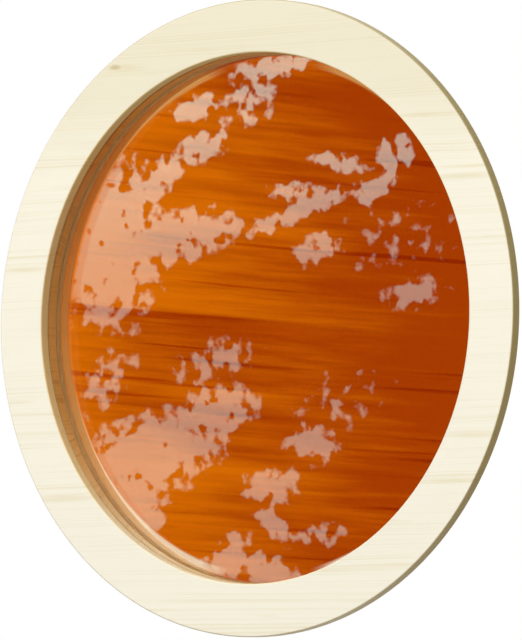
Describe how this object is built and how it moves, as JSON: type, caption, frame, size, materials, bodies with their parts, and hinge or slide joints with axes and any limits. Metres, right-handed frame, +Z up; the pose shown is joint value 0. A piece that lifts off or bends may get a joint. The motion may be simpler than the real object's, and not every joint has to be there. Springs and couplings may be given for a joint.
{
  "type": "round window",
  "caption": "Fixed round timber window: a flat pale face ring over a rebated round jamb, holding a sealed double-glazed unit with tapes, packers and an inner glazing bead.",
  "frame": {"origin": "on the window's axis, in the plane where the back of the face ring meets the wall", "axes": "+Y along the window's axis towards the room, so the face ring looks towards -Y; +Z up"},
  "size_m": [1.1998, 0.092, 1.2],
  "materials": {
    "face_wood": "planed pale softwood",
    "jamb_wood": "stained softwood, satin",
    "tinted_glass": "amber tinted, polished",
    "clear_glass": "clear, polished",
    "spacer": "tan warm-edge foam",
    "sealant": "matt",
    "glazing_tape": "matt tan",
    "packer": "moulded",
    "hardwood": "plain beech",
    "steel": "zinc plated"
  },
  "bodies": {
    "root": {"front_trim_ring": "face_wood", "jamb_ring": "jamb_wood", "glazing_bead": "face_wood", "outer_pane": "clear_glass", "inner_pane": "tinted_glass", "spacer_bar": "spacer", "edge_sealant": "sealant", "outer_glazing_tape": "glazing_tape", "inner_glazing_tape": "glazing_tape", "trim_tongues": "hardwood", "bead_brads": "steel", "setting_block_left": "packer", "setting_block_right": "packer", "location_block_right": "packer", "location_block_upper_right": "packer", "location_block_upper_left": "packer", "location_block_left": "packer"}
  },
  "joints": []
}
